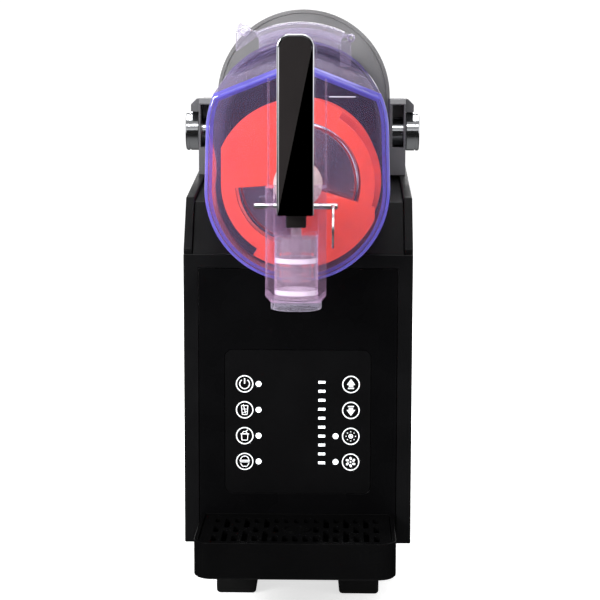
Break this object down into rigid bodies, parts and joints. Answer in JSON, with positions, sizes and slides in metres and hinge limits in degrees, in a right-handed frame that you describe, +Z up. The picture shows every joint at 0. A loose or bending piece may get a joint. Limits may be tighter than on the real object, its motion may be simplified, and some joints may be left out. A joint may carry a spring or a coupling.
{
  "type": "slushie machine",
  "caption": "Countertop slushie machine: clear bowl with red auger on a black case, pull handle and spout, touch panel and drip tray.",
  "frame": {"origin": "centre of the whole machine's box, at the bottom of its feet", "axes": "+Z up, +X to the right as seen from the front, front towards -Y"},
  "size_m": [0.2, 0.43, 0.47],
  "materials": {
    "case_black": "satin moulded black plastic",
    "fascia_black": "gloss black plastic",
    "overlay_black": "gloss black touch panel",
    "hood_grey": "fine-textured grey plastic",
    "latch_black": "satin black plastic",
    "foot_black": "matte black rubber",
    "bowl_clear": "clear plastic with a violet tint",
    "lid_clear": "clear plastic",
    "piston_clear": "clear plastic",
    "auger_red": "red moulded plastic",
    "nose_white": "white plastic",
    "seal_white": "white silicone",
    "seal_black": "black rubber",
    "handle_black": "satin black plastic",
    "handle_chrome": "polished chrome",
    "steel": "brushed stainless steel",
    "copper": "drawn copper",
    "bronze": "sintered bronze",
    "compressor_black": "black enamel",
    "fins_aluminium": "mill finish",
    "motor_zinc": "zinc plated",
    "board_green": "solder mask",
    "lens_white": "diffusing clear plastic",
    "tray_black": "satin black plastic"
  },
  "bodies": {
    "root": {"side_wall_left": "case_black", "side_wall_right": "case_black", "front_frame": "case_black", "deck": "case_black", "base_plate": "case_black", "rear_panel": "case_black", "cord_gland": "case_black", "front_fascia": "fascia_black", "control_overlay": "overlay_black", "rear_hood": "hood_grey", "bulkhead": "hood_grey", "latch_bracket_left": "latch_black", "latch_bracket_right": "latch_black", "foot_front_left": "foot_black", "foot_front_right": "foot_black", "foot_rear_left": "foot_black", "foot_rear_right": "foot_black", "bowl_gasket": "seal_black", "shaft_seal": "seal_black", "evaporator_drum": "steel", "rear_panel_screws": "steel", "evaporator_coil": "copper", "filter_dryer": "copper", "discharge_pipe": "copper", "suction_pipe": "copper", "front_bushing": "bronze", "rear_bushing": "bronze", "compressor": "compressor_black", "condenser": "fins_aluminium", "gearbox": "motor_zinc", "gear_motor": "motor_zinc", "fan_motor": "motor_zinc", "fan_shroud": "case_black", "control_board": "board_green", "power_board": "board_green", "level_light_pipe": "lens_white", "status_light_pipe_left": "lens_white", "status_light_pipe_right": "lens_white"},
    "drive": {"drive_shaft": "steel", "auger": "auger_red", "auger_nose": "nose_white"},
    "fan": {"fan_blades": "case_black"},
    "bowl": {"bowl": "bowl_clear", "lid_hinge_pin": "steel"},
    "lid": {"filler_lid": "lid_clear"},
    "piston": {"piston": "piston_clear", "piston_seal_lower": "seal_white", "piston_seal_upper": "seal_white", "piston_head": "handle_black"},
    "handle": {"handle_frame": "handle_chrome", "handle_insert": "handle_black", "handle_fork": "handle_black"},
    "pin": {"pivot_pin": "handle_chrome", "split_ring": "handle_chrome"},
    "latch_left": {"latch_shaft_left": "handle_chrome", "latch_knob_left": "handle_chrome"},
    "latch_right": {"latch_shaft_right": "handle_chrome", "latch_knob_right": "handle_chrome"},
    "tray": {"drip_tray": "tray_black"},
    "grid": {"drip_grid": "tray_black"}
  },
  "joints": [
    {"name": "auger_spin", "type": "hinge", "parent": "root", "child": "drive", "pos_m": [0, -0.12, 0.33], "axis": [0, 1, 0], "continuous": true},
    {"name": "fan_spin", "type": "hinge", "parent": "root", "child": "fan", "pos_m": [0, 0.1605, 0.12], "axis": [0, 1, 0], "continuous": true},
    {"name": "bowl_slide", "type": "slide", "parent": "root", "child": "bowl", "axis": [0, -1, 0], "range_m": [0, 0.22]},
    {"name": "lid_open", "type": "hinge", "parent": "bowl", "child": "lid", "pos_m": [0.041, -0.03, 0.443], "axis": [0, 1, 0], "range_deg": [0, 100]},
    {"name": "handle_pull", "type": "hinge", "parent": "bowl", "child": "handle", "pos_m": [0, -0.194, 0.3175], "axis": [1, 0, 0], "range_deg": [0, 60]},
    {"name": "piston_lift", "type": "slide", "parent": "bowl", "child": "piston", "axis": [0, 0, 1], "range_m": [0, 0.0175]},
    {"name": "pin_turn", "type": "hinge", "parent": "bowl", "child": "pin", "pos_m": [0, -0.194, 0.3175], "axis": [1, 0, 0], "range_deg": [-60, 60]},
    {"name": "latch_left_turn", "type": "hinge", "parent": "root", "child": "latch_left", "pos_m": [-0.09, 0.04, 0.365], "axis": [1, 0, 0], "range_deg": [0, 90]},
    {"name": "latch_right_turn", "type": "hinge", "parent": "root", "child": "latch_right", "pos_m": [0.09, 0.04, 0.365], "axis": [1, 0, 0], "range_deg": [0, 90]},
    {"name": "tray_slide", "type": "slide", "parent": "root", "child": "tray", "axis": [0, -1, 0], "range_m": [0, 0.08]},
    {"name": "grid_lift", "type": "slide", "parent": "tray", "child": "grid", "axis": [0, 0, 1], "range_m": [0, 0.05]}
  ],
  "couplings": [
    {"joint": "piston_lift", "follows": "handle_pull", "m_per_rad": 0.0165}
  ]
}
